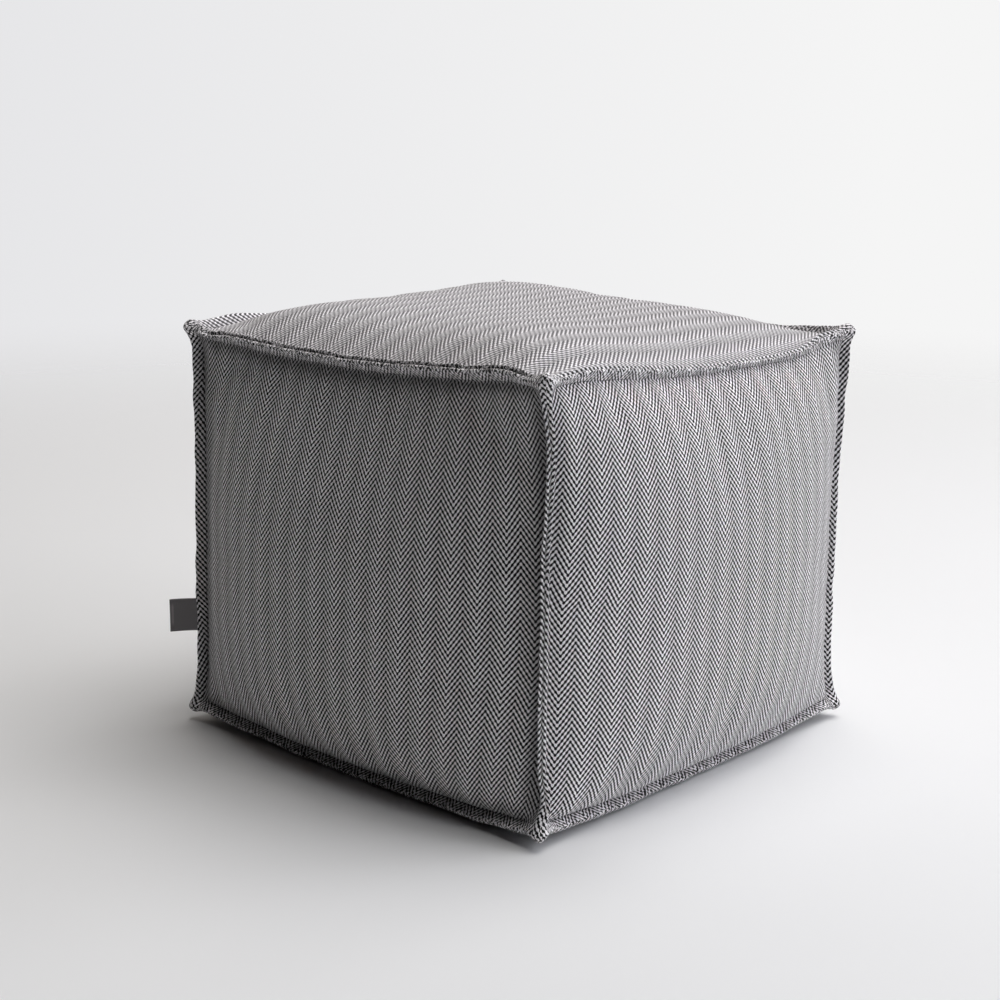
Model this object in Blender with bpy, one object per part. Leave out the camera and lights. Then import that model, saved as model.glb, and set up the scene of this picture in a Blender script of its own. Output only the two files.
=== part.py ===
"""Cube pouf stool: six cloth panels sewn round a soft filling, with every seam turned out as a
topstitched flange, and a folded ribbon tab caught in one side seam.

The frame is in metres with +Z up. The origin is on the floor, below the middle of the pouf.
The left side of the usual view faces -Y and the right side faces +X.
"""

import math
from typing import NamedTuple

import bmesh
import bpy
from mathutils import Matrix, Vector

# Driving sizes: the box through the eight corner ears, in metres.
WIDTH = 0.483
DEPTH = 0.475
HEIGHT = 0.400
LIFT = 0.012  # the lowest ears stand this far off the floor, on the swell of the base

# The flange that every seam makes.
FLANGE = 0.0125  # from the seam's root line to the far side of its rolled edge
EAR = 0.0112  # how far a corner ear stands out of the panels' corner, along each axis
EAR_REACH = 0.0102  # the part of it that is left once the rolled edges are turned in

# The mesh: cells across the filled part of a panel, and how far they crowd to its seams.
CELLS = 20
CROWDING = 0.34

# The ribbon tab, folded double with its ends caught in the seam.
TAB_HEIGHT = 0.034
TAB_PROUD = 0.028  # how far the fold stands out of the flange's rolled edge
TAB_LAYER = 0.0010
TAB_SPREAD = 0.0007  # air between the two layers
TAB_SEAT = 0.0075  # the length of ribbon that sits between the flange's two layers
TAB_MIDDLE = 0.113  # height of the tab's middle above the floor
TAB_TURN = 0.0040  # the fold's swing out of the flange's own plane
FOLD_STEPS = 6
CLEARANCE = 0.0003
CUTTER_SPARE = 0.004  # how far the cutter runs past the flange's edge

# Share of half a panel in which most of its shoulder rises, and where along a seam the flange
# begins to swell into the ear.
SHOULDER_RUN = 0.026
EAR_START = 0.88
EAR_ROUND = 0.17  # how much sooner than evenly an ear grows out of its two flanges

COVER_COLOUR = (0.17, 0.17, 0.175, 1.0)
RIBBON_COLOUR = (0.055, 0.055, 0.06, 1.0)


class Row(NamedTuple):
    """One line of a flange, counted from the seam's root out to the edge where two panels join."""

    share: float  # of the way from the root to the joined edge, along the cloth
    reach: float  # how far it stands out, as a share of the flange's width
    half: float  # half the flange's thickness there, in metres
    ear_reach: float  # the same two at a corner ear, which is thicker and has a round nose
    ear_half: float


class Corner(NamedTuple):
    """How far a corner departs from the straight box, in metres."""

    x: float
    y: float
    z: float
    tip_z: float  # what the ear's tip rises above that again


class Edge(NamedTuple):
    """How a seam is drawn in between its corners."""

    x: float  # inward draw at the middle, along each axis, in metres
    y: float
    z: float
    low: float  # power of the fall towards the low end, where 2 is round and 10 is nearly square
    high: float  # the same towards the high end
    lean: float  # how far the flange leans from its diagonal, in metres at the edge
    size: float  # the flange's size, as a share of the plain one


class Wander(NamedTuple):
    """A stretch of seam that stands higher than its neighbours, or whose flange leans aside."""

    edge: tuple[int, int, int]
    place: float  # from -1 to 1 along the seam
    spread: float
    rise: float  # of the root, in metres; the flange's edge rises as much again
    lean: float  # of the flange's edge, in metres


class Face(NamedTuple):
    """How the filling swells one panel out of its four seams."""

    crown: float  # at the middle, in metres
    across: float  # power of the fall along the panel's first axis
    up: float  # power of the fall towards the second axis's high end
    down: float  # power of the fall towards its low end
    fullness: float  # below 1 the low end stays full and then turns in sharply
    shoulder: float  # rise of the cloth close to the seams, in metres


ROWS = (
    Row(share=0.00, reach=0.00, half=0.0020, ear_reach=0.00, ear_half=0.0020),
    Row(share=0.35, reach=0.40, half=0.0026, ear_reach=0.48, ear_half=0.0064),
    Row(share=0.62, reach=0.74, half=0.0040, ear_reach=0.80, ear_half=0.0054),
    Row(share=0.84, reach=1.00, half=0.0028, ear_reach=0.96, ear_half=0.0028),
    Row(share=1.00, reach=0.86, half=0.0000, ear_reach=1.00, ear_half=0.0000),
)

CORNERS = {
    (-1, -1, -1): Corner(0.0015, 0.0005, 0, 0),
    (1, -1, -1): Corner(0.002, -0.002, 0, 0),
    (1, 1, -1): Corner(0, 0, 0, 0),
    (-1, 1, -1): Corner(0, 0, 0, 0),
    (-1, -1, 1): Corner(0.0065, 0.004, 0.002, -0.003),
    (1, -1, 1): Corner(0, 0, 0.003, 0.003),
    (1, 1, 1): Corner(-0.003, -0.004, 0, -0.0015),
    (-1, 1, 1): Corner(0, 0, 0.003, 0),
}

# A seam is named by the sides it joins: 0 stands for the axis that it runs along.
EDGES = {
    (1, -1, 0): Edge(0.0035, 0.0115, 0, 4, 4, -0.0040, 0.90),
    (-1, -1, 0): Edge(0.0040, 0.0040, 0, 10, 14, 0, 1),
    (1, 1, 0): Edge(0.0060, 0.0060, 0, 10, 1.4, 0, 1),
    (-1, 1, 0): Edge(0.0080, 0.0080, 0, 4, 4, 0, 1),
    (0, -1, 1): Edge(0, 0.0080, 0.0088, 4, 1.3, 0, 1),
    (1, 0, 1): Edge(0.0075, 0, 0.0090, 1.6, 6, 0.0040, 0.75),
    (-1, 0, 1): Edge(0.0080, 0, 0.0040, 2.5, 2.5, 0, 1),
    (0, 1, 1): Edge(0, 0.0080, 0.0050, 2.5, 2.5, 0, 1),
    (0, -1, -1): Edge(0, 0.0030, -0.0100, 2.5, 2.5, 0, 1),
    (1, 0, -1): Edge(0.0030, 0, -0.0090, 2.5, 2.5, 0, 1),
    (-1, 0, -1): Edge(0.0030, 0, -0.0070, 2.5, 2.5, 0, 1),
    (0, 1, -1): Edge(0, 0.0030, -0.0070, 2.5, 2.5, 0, 1),
}

WANDERS = (
    Wander(edge=(0, -1, 1), place=0.80, spread=0.45, rise=0.0014, lean=0),
    Wander(edge=(0, -1, 1), place=0.84, spread=0.14, rise=0.0020, lean=0),
    Wander(edge=(0, -1, 1), place=-0.94, spread=0.08, rise=-0.0045, lean=0),
    Wander(edge=(1, 0, 1), place=0.55, spread=0.35, rise=-0.0012, lean=0),
    Wander(edge=(1, 0, 1), place=0.92, spread=0.16, rise=0, lean=-0.0110),
    Wander(edge=(1, 0, 1), place=-0.75, spread=0.50, rise=0.0045, lean=0),
    Wander(edge=(-1, 0, 1), place=-0.80, spread=0.20, rise=0.0030, lean=0),
    Wander(edge=(0, 1, 1), place=0.70, spread=0.30, rise=-0.0020, lean=0),
    Wander(edge=(1, -1, 0), place=0.70, spread=0.32, rise=0, lean=0.0060),
    Wander(edge=(1, -1, 0), place=-1.00, spread=0.16, rise=0, lean=0.0160),
)

FACES = {
    (1, 0, 0): Face(0.041, 2.7, 2.6, 3.6, 0.70, 0.011),
    (-1, 0, 0): Face(0.044, 2.6, 2.2, 4.0, 0.68, 0.007),
    (0, -1, 0): Face(0.047, 2.6, 1.75, 5.0, 0.66, 0.004),
    (0, 1, 0): Face(0.044, 2.6, 2.2, 4.0, 0.68, 0.007),
    (0, 0, 1): Face(0.051, 3.4, 3.4, 3.4, 1.0, 0.004),
    (0, 0, -1): Face(0.030, 2.5, 2.5, 2.5, 1.0, 0.0),
}


def clear_scene():
    """Removes every object that the file starts with."""
    for thing in list(bpy.data.objects):
        bpy.data.objects.remove(thing, do_unlink=True)


def new_collection(name):
    """A collection of this name, in the scene."""
    collection = bpy.data.collections.new(name)
    bpy.context.scene.collection.children.link(collection)
    return collection


def new_object(name, mesh, collection):
    """An object of this name that shows the mesh."""
    thing = bpy.data.objects.new(name, mesh)
    collection.objects.link(thing)
    return thing


def cloth_material(name, colour, roughness):
    """A plain matt cloth."""
    material = bpy.data.materials.new(name)
    material.use_nodes = True
    shader = material.node_tree.nodes["Principled BSDF"]
    shader.inputs["Base Color"].default_value = colour
    shader.inputs["Roughness"].default_value = roughness
    shader.inputs["Metallic"].default_value = 0.0
    return material


# Seams ---------------------------------------------------------------------------------------


def seam_corner(corner):
    """Where the three root lines meet behind a corner ear."""
    x, y, z = corner
    box = Vector((x * WIDTH / 2, y * DEPTH / 2, LIFT + (HEIGHT if z > 0 else 0)))
    moved = CORNERS[corner]
    return box + Vector((moved.x, moved.y, moved.z)) - Vector(corner) * EAR_REACH


def ear_offset(corner):
    """From the root lines' corner to the ear's tip."""
    return Vector(corner) * EAR + Vector((0, 0, CORNERS[corner].tip_z))


def wander_at(edge, along):
    """How much higher this place of a seam stands than its even run, and how far it leans."""
    rise, lean = 0.0, 0.0
    for row in WANDERS:
        if row.edge == edge:
            bell = math.exp(-(((along - row.place) / row.spread) ** 2))
            share = bell * (1 - abs(along) ** 8)
            rise += row.rise * share
            lean += row.lean * share
    return Vector((0, 0, rise)), lean


def seam_root(edge, along):
    """A point of the root line, from -1 to 1 along the seam."""
    axis = edge.index(0)
    low, high = list(edge), list(edge)
    low[axis] = -1
    high[axis] = 1
    straight = seam_corner(tuple(low)).lerp(seam_corner(tuple(high)), (along + 1) / 2)
    row = EDGES[edge]
    power = row.low if along < 0 else row.high
    draw = Vector((edge[0] * row.x, edge[1] * row.y, edge[2] * row.z))
    rise, _ = wander_at(edge, along)
    return straight - draw * (1 - abs(along) ** power) + rise


def flange_size(edge, along):
    """The flange's size at this place of a seam, as a share of the plain one."""
    return 1 + (EDGES[edge].size - 1) * (1 - abs(along) ** 8)


def flange_offset(edge, along):
    """From the root line to the edge of the flange, across the flange."""
    first, second = [axis for axis in range(3) if edge[axis]]
    side = Vector((0, 0, 0))
    side[first] = edge[first]
    side[second] = -edge[second]
    rise, aside = wander_at(edge, along)
    lean = EDGES[edge].lean * (1 - abs(along) ** 6) + aside
    width = FLANGE * flange_size(edge, along)
    return (Vector(edge) * width + side * lean) / math.sqrt(2) + rise


# Panels --------------------------------------------------------------------------------------


def joined(face, axis, sign, other=None, other_sign=0):
    """The seam, or with another axis the corner, where a face meets its neighbours."""
    sides = list(face)
    sides[axis] = sign
    if other is not None:
        sides[other] = other_sign
    return tuple(sides)


def seam_patch(face, first, second, s, t):
    """The sheet that the panel's four root lines span, at s and t from -1 to 1."""
    across, up = (s + 1) / 2, (t + 1) / 2
    point = seam_root(joined(face, first, -1), t) * (1 - across)
    point += seam_root(joined(face, first, 1), t) * across
    point += seam_root(joined(face, second, -1), s) * (1 - up)
    point += seam_root(joined(face, second, 1), s) * up
    for side, share in ((-1, 1 - across), (1, across)):
        for end, part in ((-1, 1 - up), (1, up)):
            point -= seam_corner(joined(face, first, side, second, end)) * share * part
    return point


def swell(face, s, t):
    """How far the filling pushes the panel out of its seams."""
    row = FACES[face]
    if t > 0:
        fall = 1 - t**row.up
    else:
        fall = (1 - (-t) ** row.down) ** row.fullness
    shoulder = row.shoulder
    for place in (s, t):
        shoulder *= 1 - math.exp((abs(place) - 1) / SHOULDER_RUN)
    return row.crown * (1 - abs(s) ** row.across) * fall + shoulder


def flange_row(share, along):
    """Reach and half thickness of the flange at this share of its cloth.

    along is the place along the seam, from -1 to 1: the flange swells into an ear at either end.
    """
    step = min(max((abs(along) - EAR_START) / (1 - EAR_START), 0), 1)
    ear = step * step * (3 - 2 * step)
    row = min(ROWS, key=lambda entry: abs(entry.share - share))
    reach = row.reach + (row.ear_reach - row.reach) * ear
    return reach, row.half + (row.ear_half - row.half) * ear


def panel_point(face, s, t, out_s, out_t):
    """A point of a panel's outer side.

    s and t run from -1 to 1 between the root lines. out_s and out_t run from 0 at a root line to 1
    at the edge of the flange beyond it.
    """
    axis = next(index for index in range(3) if face[index])
    first, second = [index for index in range(3) if index != axis]
    outward = Vector(face)
    side_s = math.copysign(1, s) * Matrix.Identity(3).row[first]
    side_t = math.copysign(1, t) * Matrix.Identity(3).row[second]
    sign_s, sign_t = int(math.copysign(1, s)), int(math.copysign(1, t))

    point = seam_patch(face, first, second, s, t)
    share = max(out_s, out_t)
    if share == 0:
        point += outward * (swell(face, s, t) + ROWS[0].half)
    else:
        seam_s, seam_t = joined(face, first, sign_s), joined(face, second, sign_t)
        only_s, only_t, both = out_s * (1 - out_t), out_t * (1 - out_s), out_s * out_t
        # The two flanges give way to the ear along a round line.
        offset = flange_offset(seam_s, t) * (out_s * math.cos(out_t * math.pi / 2))
        offset += flange_offset(seam_t, s) * (out_t * math.cos(out_s * math.pi / 2))
        ear_share = both * (1 + EAR_ROUND * (1 - min(out_s, out_t)))
        offset += ear_offset(joined(face, first, sign_s, second, sign_t)) * ear_share
        if out_s >= out_t:
            reach, half = flange_row(share, t)
            half *= flange_size(seam_s, t)
        else:
            reach, half = flange_row(share, s)
            half *= flange_size(seam_t, s)
        normal = outward * ((1 - out_s) * (1 - out_t))
        normal += (outward - side_s) * (only_s / math.sqrt(2))
        normal += (outward - side_t) * (only_t / math.sqrt(2))
        normal += (outward * 2 - side_s - side_t) * (both / math.sqrt(6))
        point += offset * (reach / share) + normal * half
    point.z = max(point.z, 0)
    return point


# The pouf ------------------------------------------------------------------------------------


def panel_place(number):
    """The place across a panel of one of the grid's lines, as -1 to 1 and the share of the flange."""
    flange_lines = len(ROWS) - 1
    middle = CELLS // 2 + flange_lines
    line = number - middle
    sign = -1 if line < 0 else 1
    beyond = abs(line) - CELLS // 2
    if beyond >= 0:
        return float(sign), ROWS[beyond].share
    even = abs(line) / (CELLS // 2)
    crowded = math.sin(even * math.pi / 2)
    return sign * (even + (crowded - even) * CROWDING), 0.0


def pouf_mesh():
    """The filled pouf: a finely cut cube whose points are laid on the six panels."""
    lines = CELLS + 2 * (len(ROWS) - 1)
    bm = bmesh.new()
    bmesh.ops.create_cube(bm, size=2)
    bmesh.ops.subdivide_edges(bm, edges=bm.edges[:], cuts=lines - 1, use_grid_fill=True)
    for vert in bm.verts:
        sizes = [abs(value) for value in vert.co]
        axis = sizes.index(max(sizes))
        face = [0, 0, 0]
        face[axis] = int(math.copysign(1, vert.co[axis]))
        places = []
        for index in range(3):
            if index != axis:
                places.append(panel_place(round((vert.co[index] + 1) / 2 * lines)))
        (s, out_s), (t, out_t) = places
        vert.co = panel_point(tuple(face), s, t, out_s, out_t)
    bmesh.ops.recalc_face_normals(bm, faces=bm.faces)
    mesh = bpy.data.meshes.new("Pouf_body")
    bm.to_mesh(mesh)
    bm.free()
    mesh.shade_smooth()
    mesh.set_sharp_from_angle(angle=math.radians(60))
    return mesh


# The ribbon tab ------------------------------------------------------------------------------

TAB_EDGE = (-1, -1, 0)


def tab_frame():
    """Axes of the tab: X out of the seam, Y across the ribbon's thickness, Z up, origin on the rim."""
    along = 2 * (TAB_MIDDLE - LIFT) / HEIGHT - 1
    root = seam_root(TAB_EDGE, along)
    out = flange_offset(TAB_EDGE, along)
    origin = Vector((root.x + out.x, root.y + out.y, TAB_MIDDLE))
    outward = Vector((out.x, out.y, 0)).normalized()
    across = Vector((0, 0, 1)).cross(outward)
    turned = Matrix((outward, across, Vector((0, 0, 1)))).transposed()
    return Matrix.Translation(origin) @ turned.to_4x4()


def tab_bend(x):
    """How far the ribbon has swung aside at x from the rim."""
    return TAB_TURN * (max(x, 0) / TAB_PROUD) ** 2


def tab_section():
    """The ribbon's edge-on outline: down one layer, round the fold and back along the other."""
    outer = TAB_LAYER + TAB_SPREAD / 2
    inner = TAB_SPREAD / 2
    seat = -TAB_SEAT
    fold = TAB_PROUD - outer
    stretch = [0.0, fold * 0.35, fold * 0.7]

    def side(radius, sign):
        return [(x, sign * radius) for x in [seat, *stretch]]

    def turn(radius):
        angles = [math.pi * (0.5 - step / FOLD_STEPS) for step in range(FOLD_STEPS + 1)]
        return [(fold + radius * math.cos(a), radius * math.sin(a)) for a in angles]

    outside = side(outer, 1) + turn(outer) + side(outer, -1)[::-1]
    inside = side(inner, 1) + turn(inner) + side(inner, -1)[::-1]
    return [(x, y + tab_bend(x)) for x, y in outside + inside[::-1]]


def prism(name, outline, height):
    """A closed upright prism over a flat outline, centred on its height."""
    bm = bmesh.new()
    corners = [bm.verts.new((x, y, -height / 2)) for x, y in outline]
    base = bm.faces.new(corners)
    raised = bmesh.ops.extrude_face_region(bm, geom=[base])["geom"]
    moved = [item for item in raised if isinstance(item, bmesh.types.BMVert)]
    bmesh.ops.translate(bm, verts=moved, vec=(0, 0, height))
    bmesh.ops.recalc_face_normals(bm, faces=bm.faces)
    mesh = bpy.data.meshes.new(name)
    bm.to_mesh(mesh)
    bm.free()
    return mesh


def slot_section():
    """The slot between the flange's two layers, with its clearance round the ribbon."""
    half = TAB_LAYER + TAB_SPREAD / 2 + CLEARANCE
    bottom = -TAB_SEAT - CLEARANCE
    return [(bottom, -half), (CUTTER_SPARE, -half), (CUTTER_SPARE, half), (bottom, half)]


def cut_slot(pouf, cutters):
    """Opens the flange where the ribbon's ends go in."""
    mesh = prism("Tab_slot", slot_section(), TAB_HEIGHT + 2 * CLEARANCE)
    cutter = new_object("Tab_slot", mesh, cutters)
    cutter.matrix_world = tab_frame()
    cutter.hide_render = True
    cutter.display_type = "WIRE"
    cut = pouf.modifiers.new("Tab slot", "BOOLEAN")
    cut.operation = "DIFFERENCE"
    cut.solver = "EXACT"
    cut.object = cutter


def main():
    """Builds the pouf and its tab."""
    clear_scene()
    parts = new_collection("Cube pouf stool")
    cutters = new_collection("Cutters")

    pouf = new_object("Pouf_body", pouf_mesh(), parts)
    pouf.data.materials.append(cloth_material("Herringbone cloth", COVER_COLOUR, 0.9))
    cut_slot(pouf, cutters)

    tab = new_object("Ribbon_tab", prism("Ribbon_tab", tab_section(), TAB_HEIGHT), parts)
    tab.matrix_world = tab_frame()
    tab.data.materials.append(cloth_material("Satin ribbon", RIBBON_COLOUR, 0.5))


main()
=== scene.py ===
"""Looks of a cube pouf stool: a herringbone cover over a soft filling, with flanged seams,
corner ears, topstitching and a folded ribbon tab, on a pale studio floor.

Lengths are in metres and +Z is up. The left side of the usual view faces -Y, the right side +X.
"""

import logging
import math
from dataclasses import dataclass, field
from enum import Enum
from functools import partial

import bmesh
import bpy
import numpy as np
from bpy.types import Material, Mesh, Node, NodeSocket, NodeTree, Object
from mathutils import Matrix, Vector


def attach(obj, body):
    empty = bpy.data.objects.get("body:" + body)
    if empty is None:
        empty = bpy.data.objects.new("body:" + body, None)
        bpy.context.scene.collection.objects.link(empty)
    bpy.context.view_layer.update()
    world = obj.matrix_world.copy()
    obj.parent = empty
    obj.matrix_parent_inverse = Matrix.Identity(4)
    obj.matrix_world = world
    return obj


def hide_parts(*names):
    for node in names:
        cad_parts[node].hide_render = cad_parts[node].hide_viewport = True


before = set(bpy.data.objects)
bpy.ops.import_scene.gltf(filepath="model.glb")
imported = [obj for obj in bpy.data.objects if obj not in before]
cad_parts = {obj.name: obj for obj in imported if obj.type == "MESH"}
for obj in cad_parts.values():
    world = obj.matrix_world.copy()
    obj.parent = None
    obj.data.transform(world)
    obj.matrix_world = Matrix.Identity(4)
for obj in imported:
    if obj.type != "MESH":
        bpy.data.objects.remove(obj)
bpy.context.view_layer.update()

log = logging.getLogger("pouf")

MM = 0.001
BODY = "root"
UV_NAME = "cloth"
CRUMPLED = "crumpled"  # from 0 on open cloth to 1 where a roll across the weave is joined
PAINTED_TOP_SHEEN = "painted_top_sheen"  # 1 on the top panel's open cloth, which takes painted sheen
PAINTED_SEAM_SHADE = "painted_seam_shade"  # painted shade, above 0 beside a seam
Key = tuple[int, int, int]


# Small helpers -------------------------------------------------------------------------------


def linear(hex_colour: str) -> tuple[float, float, float, float]:
    """The linear colour of an sRGB hex value.

    Args:
        hex_colour: six hex digits after a hash.

    Returns:
        Red, green, blue and alpha, linear.
    """
    values = [int(hex_colour[at : at + 2], 16) / 255 for at in (1, 3, 5)]
    curve = [v / 12.92 if v <= 0.04045 else ((v + 0.055) / 1.055) ** 2.4 for v in values]
    return (*curve, 1.0)


def add_node(
    tree: NodeTree,
    kind: str,
    links: dict[int | str, object] | None = None,
    **settings: object,
) -> Node:
    """Adds a node with its settings and fills its inputs.

    Args:
        tree: the tree that gets the node.
        kind: the node's type name.
        links: for each input, by number or name, an output socket to link or a value to set.
        settings: the node's own properties.

    Returns:
        The new node.
    """
    node = tree.nodes.new(kind)
    for name, value in settings.items():
        setattr(node, name, value)
    for key, value in (links or {}).items():
        if isinstance(value, NodeSocket):
            tree.links.new(value, node.inputs[key])
        else:
            node.inputs[key].default_value = value
    return node


def output(
    tree: NodeTree,
    kind: str,
    links: dict[int | str, object] | None = None,
    **settings: object,
) -> NodeSocket:
    """The first output of a new node, which is given as to add_node."""
    return add_node(tree, kind, links, **settings).outputs[0]


def smooth_step(x: np.ndarray) -> np.ndarray:
    """A soft step from 0 to 1, flat at both ends."""
    x = np.clip(x, 0, 1)
    return x * x * (3 - 2 * x)


def new_piece(name: str, mesh: Mesh) -> Object:
    """Links an object that shows the mesh, at the origin.

    Args:
        name: the piece's name, which its mesh takes too.
        mesh: the mesh, already in place.

    Returns:
        The object.
    """
    mesh.name = name
    piece = bpy.data.objects.new(name, mesh)
    bpy.context.scene.collection.objects.link(piece)
    return piece


def discard(piece: Object) -> None:
    """Removes a working object and its mesh.

    Args:
        piece: the object.
    """
    mesh = piece.data
    bpy.data.objects.remove(piece, do_unlink=True)
    bpy.data.meshes.remove(mesh)


# Sewing plan ---------------------------------------------------------------------------------

SHOULDER_RUN = 0.026  # share of half a panel in which most of the shoulder rises
LEAN_SEED = 20  # from a seam's seed to that of its flange's lean


class Side(Enum):
    """The six panels, each by its outward direction."""

    LEFT = (0, -1, 0)
    RIGHT = (1, 0, 0)
    FAR_LEFT = (-1, 0, 0)
    FAR_RIGHT = (0, 1, 0)
    TOP = (0, 0, 1)
    BASE = (0, 0, -1)


@dataclass(frozen=True)
class Corner:
    """How far a corner departs from the straight box, and its ear's tip from that again."""

    x: float = 0.0
    y: float = 0.0
    z: float = 0.0
    tip_z: float = 0.0


@dataclass(frozen=True)
class Seam:
    """How a seam is drawn in between its corners: the draw along each axis at the middle, the
    power of its fall towards either end, the flange's lean at its edge, and the flange's size
    there as a share of the plain one."""

    x: float
    y: float
    z: float
    low: float
    high: float
    lean: float = 0.0
    size: float = 1.0


@dataclass(frozen=True)
class Wander:
    """A stretch of seam that stands higher than its neighbours, or whose flange leans aside."""

    seam: Key
    place: float
    spread: float
    rise: float = 0.0
    lean: float = 0.0


@dataclass(frozen=True)
class Swell:
    """How the filling pushes one panel out of its four seams: a wide crown, whose fall towards
    the seams has a power of its own on each side, and a round shoulder close to the seams,
    which may rise more slowly at the upper one."""

    crown: float
    across: float
    up: float
    down: float
    low_power: float
    shoulder: float
    upper_run: float = SHOULDER_RUN


@dataclass(frozen=True)
class Wave:
    """A seeded sum of sines, for cloth that isn't quite even."""

    seed: int
    slowest: float = 4.0  # half waves along a seam
    step: float = 3.7
    count: int = 7
    fall: float = 0.25  # how much less each faster sine counts

    def at(self, places: np.ndarray) -> np.ndarray:
        """Its value at each place along a seam.

        Args:
            places: from -1 to 1.

        Returns:
            A value for each, about -1 to 1.
        """
        chance = np.random.default_rng(self.seed)
        total = np.zeros(places.shape)
        for number in range(self.count):
            phase = chance.uniform(0, 2 * math.pi)
            speed = self.slowest + self.step * number
            total += np.sin(places * math.pi / 2 * speed + phase) / (1 + self.fall * number)
        return total / math.sqrt(self.count)


CORNERS: dict[Key, Corner] = {
    (-1, -1, -1): Corner(x=0.0015, y=0.0005),
    (1, -1, -1): Corner(x=0.002, y=-0.002),
    (1, 1, -1): Corner(),
    (-1, 1, -1): Corner(),
    (-1, -1, 1): Corner(x=0.0065, y=0.004, z=0.002, tip_z=-0.003),
    (1, -1, 1): Corner(z=0.003, tip_z=0.003),
    (1, 1, 1): Corner(x=-0.003, y=-0.004, tip_z=-0.0015),
    (-1, 1, 1): Corner(z=0.003),
}

# A seam is named by the sides it joins: 0 stands for the axis that it runs along.
SEAMS: dict[Key, Seam] = {
    (1, -1, 0): Seam(0.0035, 0.0115, 0, 4, 4, -0.0040, 0.90),
    (-1, -1, 0): Seam(0.0040, 0.0040, 0, 10, 14),
    (1, 1, 0): Seam(0.0060, 0.0060, 0, 10, 1.4),
    (-1, 1, 0): Seam(0.0080, 0.0080, 0, 4, 4),
    (0, -1, 1): Seam(0, 0.0052, 0.0118, 4, 1.3, -0.0040),
    (1, 0, 1): Seam(0.0021, 0, 0.0135, 1.6, 6, -0.0030, 0.70),
    (-1, 0, 1): Seam(0.0080, 0, 0.0040, 2.5, 2.5),
    (0, 1, 1): Seam(0, 0.0080, 0.0050, 2.5, 2.5),
    (0, -1, -1): Seam(0, 0.0030, -0.0100, 2.5, 2.5),
    (1, 0, -1): Seam(0.0030, 0, -0.0090, 2.5, 2.5),
    (-1, 0, -1): Seam(0.0030, 0, -0.0070, 2.5, 2.5),
    (0, 1, -1): Seam(0, 0.0030, -0.0070, 2.5, 2.5),
}

WANDERS: tuple[Wander, ...] = (
    Wander(seam=(0, -1, 1), place=0.80, spread=0.45, rise=0.0014),
    Wander(seam=(0, -1, 1), place=0.84, spread=0.14, rise=0.0020),
    Wander(seam=(0, -1, 1), place=-0.94, spread=0.08, rise=-0.0045),
    Wander(seam=(1, 0, 1), place=0.55, spread=0.35, rise=-0.0012),
    Wander(seam=(1, 0, 1), place=0.92, spread=0.16, lean=-0.0110),
    Wander(seam=(1, 0, 1), place=-0.75, spread=0.50, rise=0.0045),
    Wander(seam=(-1, 0, 1), place=-0.80, spread=0.20, rise=0.003),
    Wander(seam=(0, 1, 1), place=0.70, spread=0.30, rise=-0.0020),
    Wander(seam=(1, -1, 0), place=0.70, spread=0.32, lean=0.0060),
    Wander(seam=(1, -1, 0), place=-1.0, spread=0.16, lean=0.0160),
)

SWELLS: dict[Side, Swell] = {
    Side.RIGHT: Swell(0.039, 2.7, 2.6, 3.6, 0.70, 0.011, 0.12),
    Side.FAR_LEFT: Swell(0.042, 2.6, 2.2, 4.0, 0.68, 0.007),
    Side.LEFT: Swell(0.045, 2.6, 1.75, 5.0, 0.66, 0.003),
    Side.FAR_RIGHT: Swell(0.042, 2.6, 2.2, 4.0, 0.68, 0.007),
    Side.TOP: Swell(0.0385, 4.8, 4.8, 4.8, 1.0, 0.005),
    Side.BASE: Swell(0.030, 2.5, 2.5, 2.5, 1.0, 0.0),
}


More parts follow.
